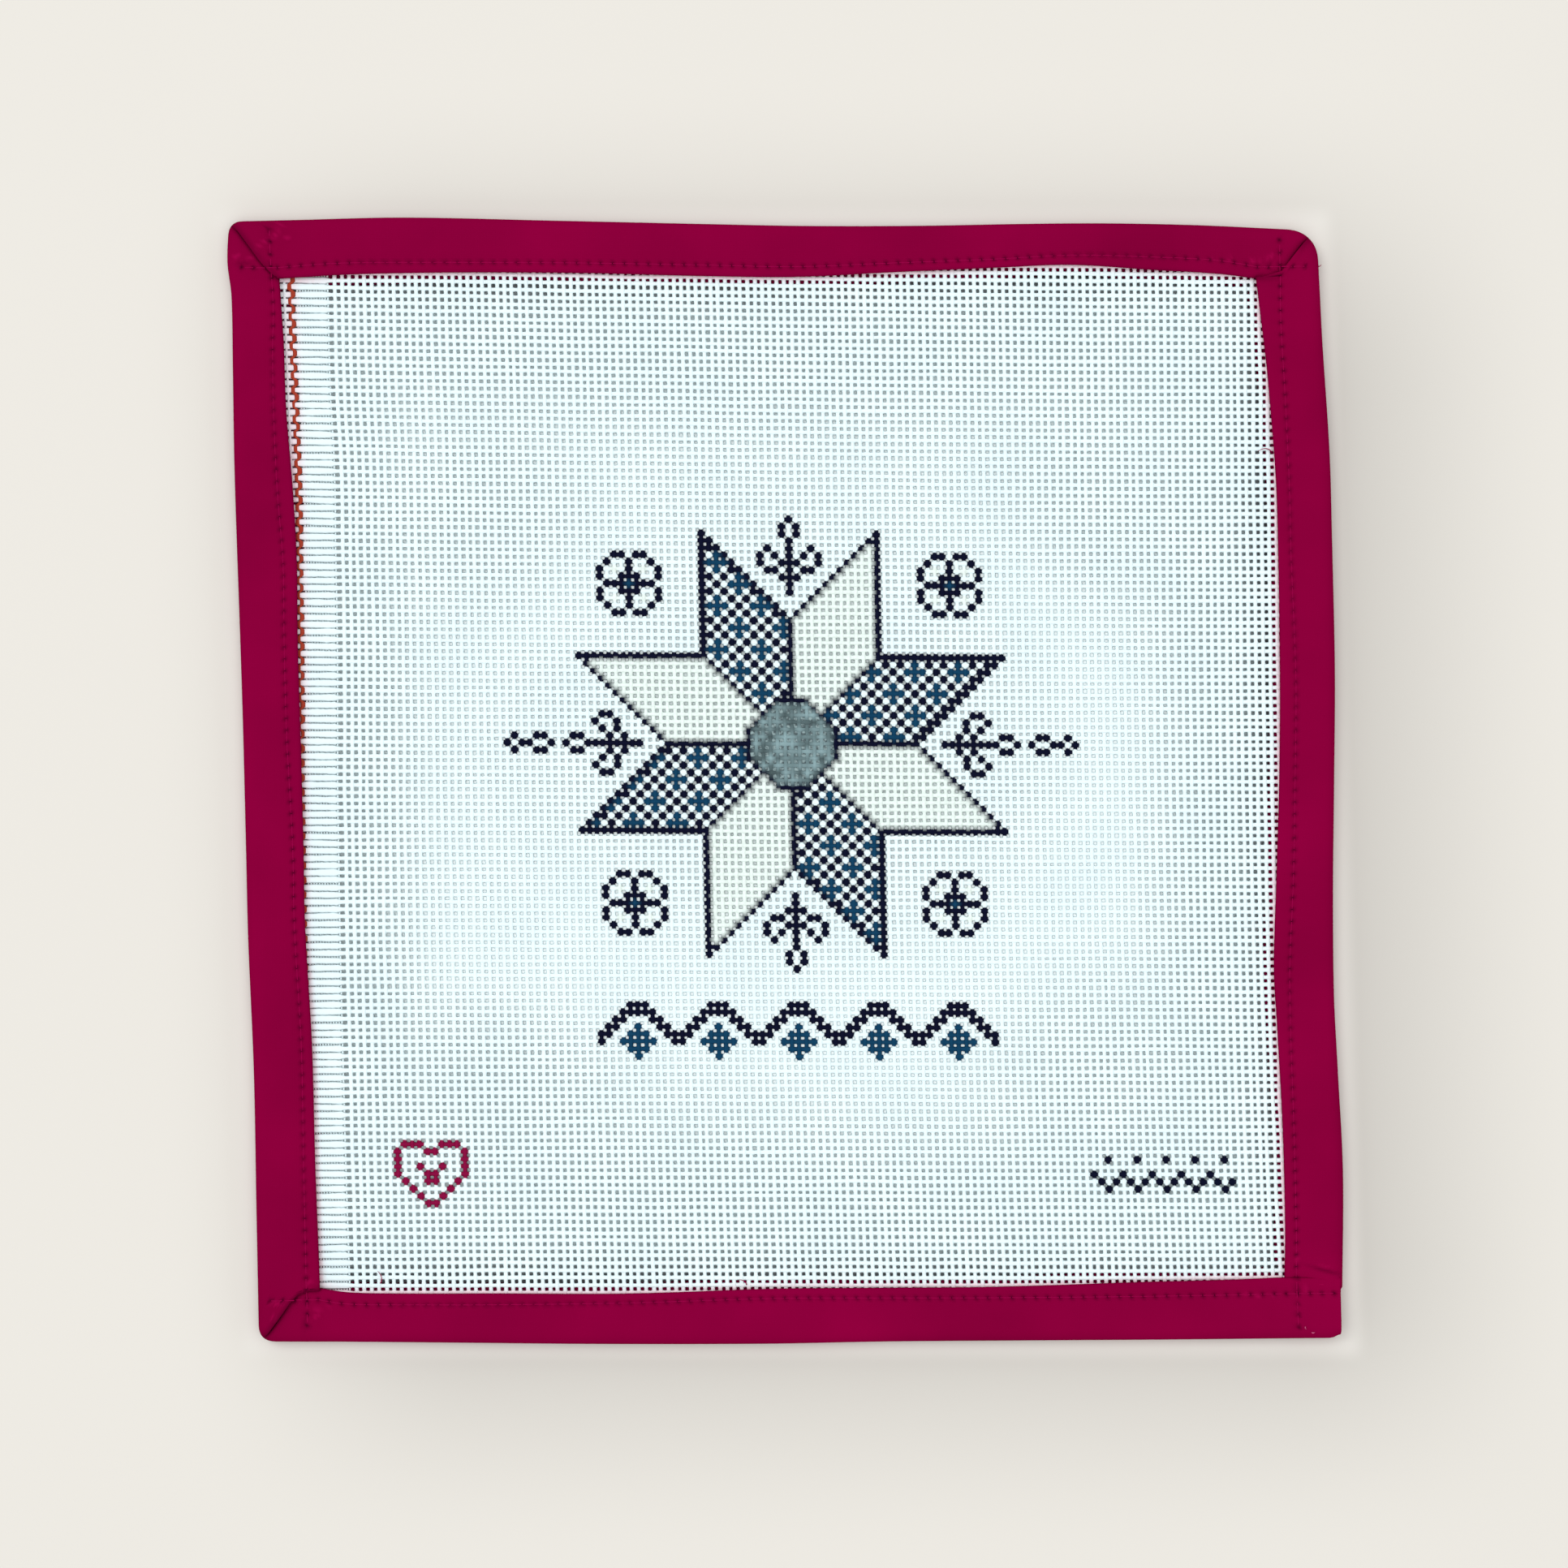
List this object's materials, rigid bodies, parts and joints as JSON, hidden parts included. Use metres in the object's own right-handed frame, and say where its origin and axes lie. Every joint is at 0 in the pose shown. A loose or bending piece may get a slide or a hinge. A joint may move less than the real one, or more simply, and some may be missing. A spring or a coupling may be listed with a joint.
{
  "type": "needlepoint canvas panel",
  "caption": "Square of stiff open-weave needlework canvas, its raw edges bound in folded cotton tape, lying face up.",
  "frame": {"origin": "on the underside of the canvas at its middle, where it touches the surface that it lies on", "axes": "+Z out of the worked face, +Y towards the top edge of the work, +X to its right"},
  "size_m": [0.2153, 0.2174, 0.0041],
  "materials": {
    "canvas_cotton": "stiff sized white cotton, matt",
    "tape_cotton": "crimson cotton tape, matt"
  },
  "bodies": {
    "root": {"canvas": "canvas_cotton", "binding": "tape_cotton"}
  },
  "joints": []
}
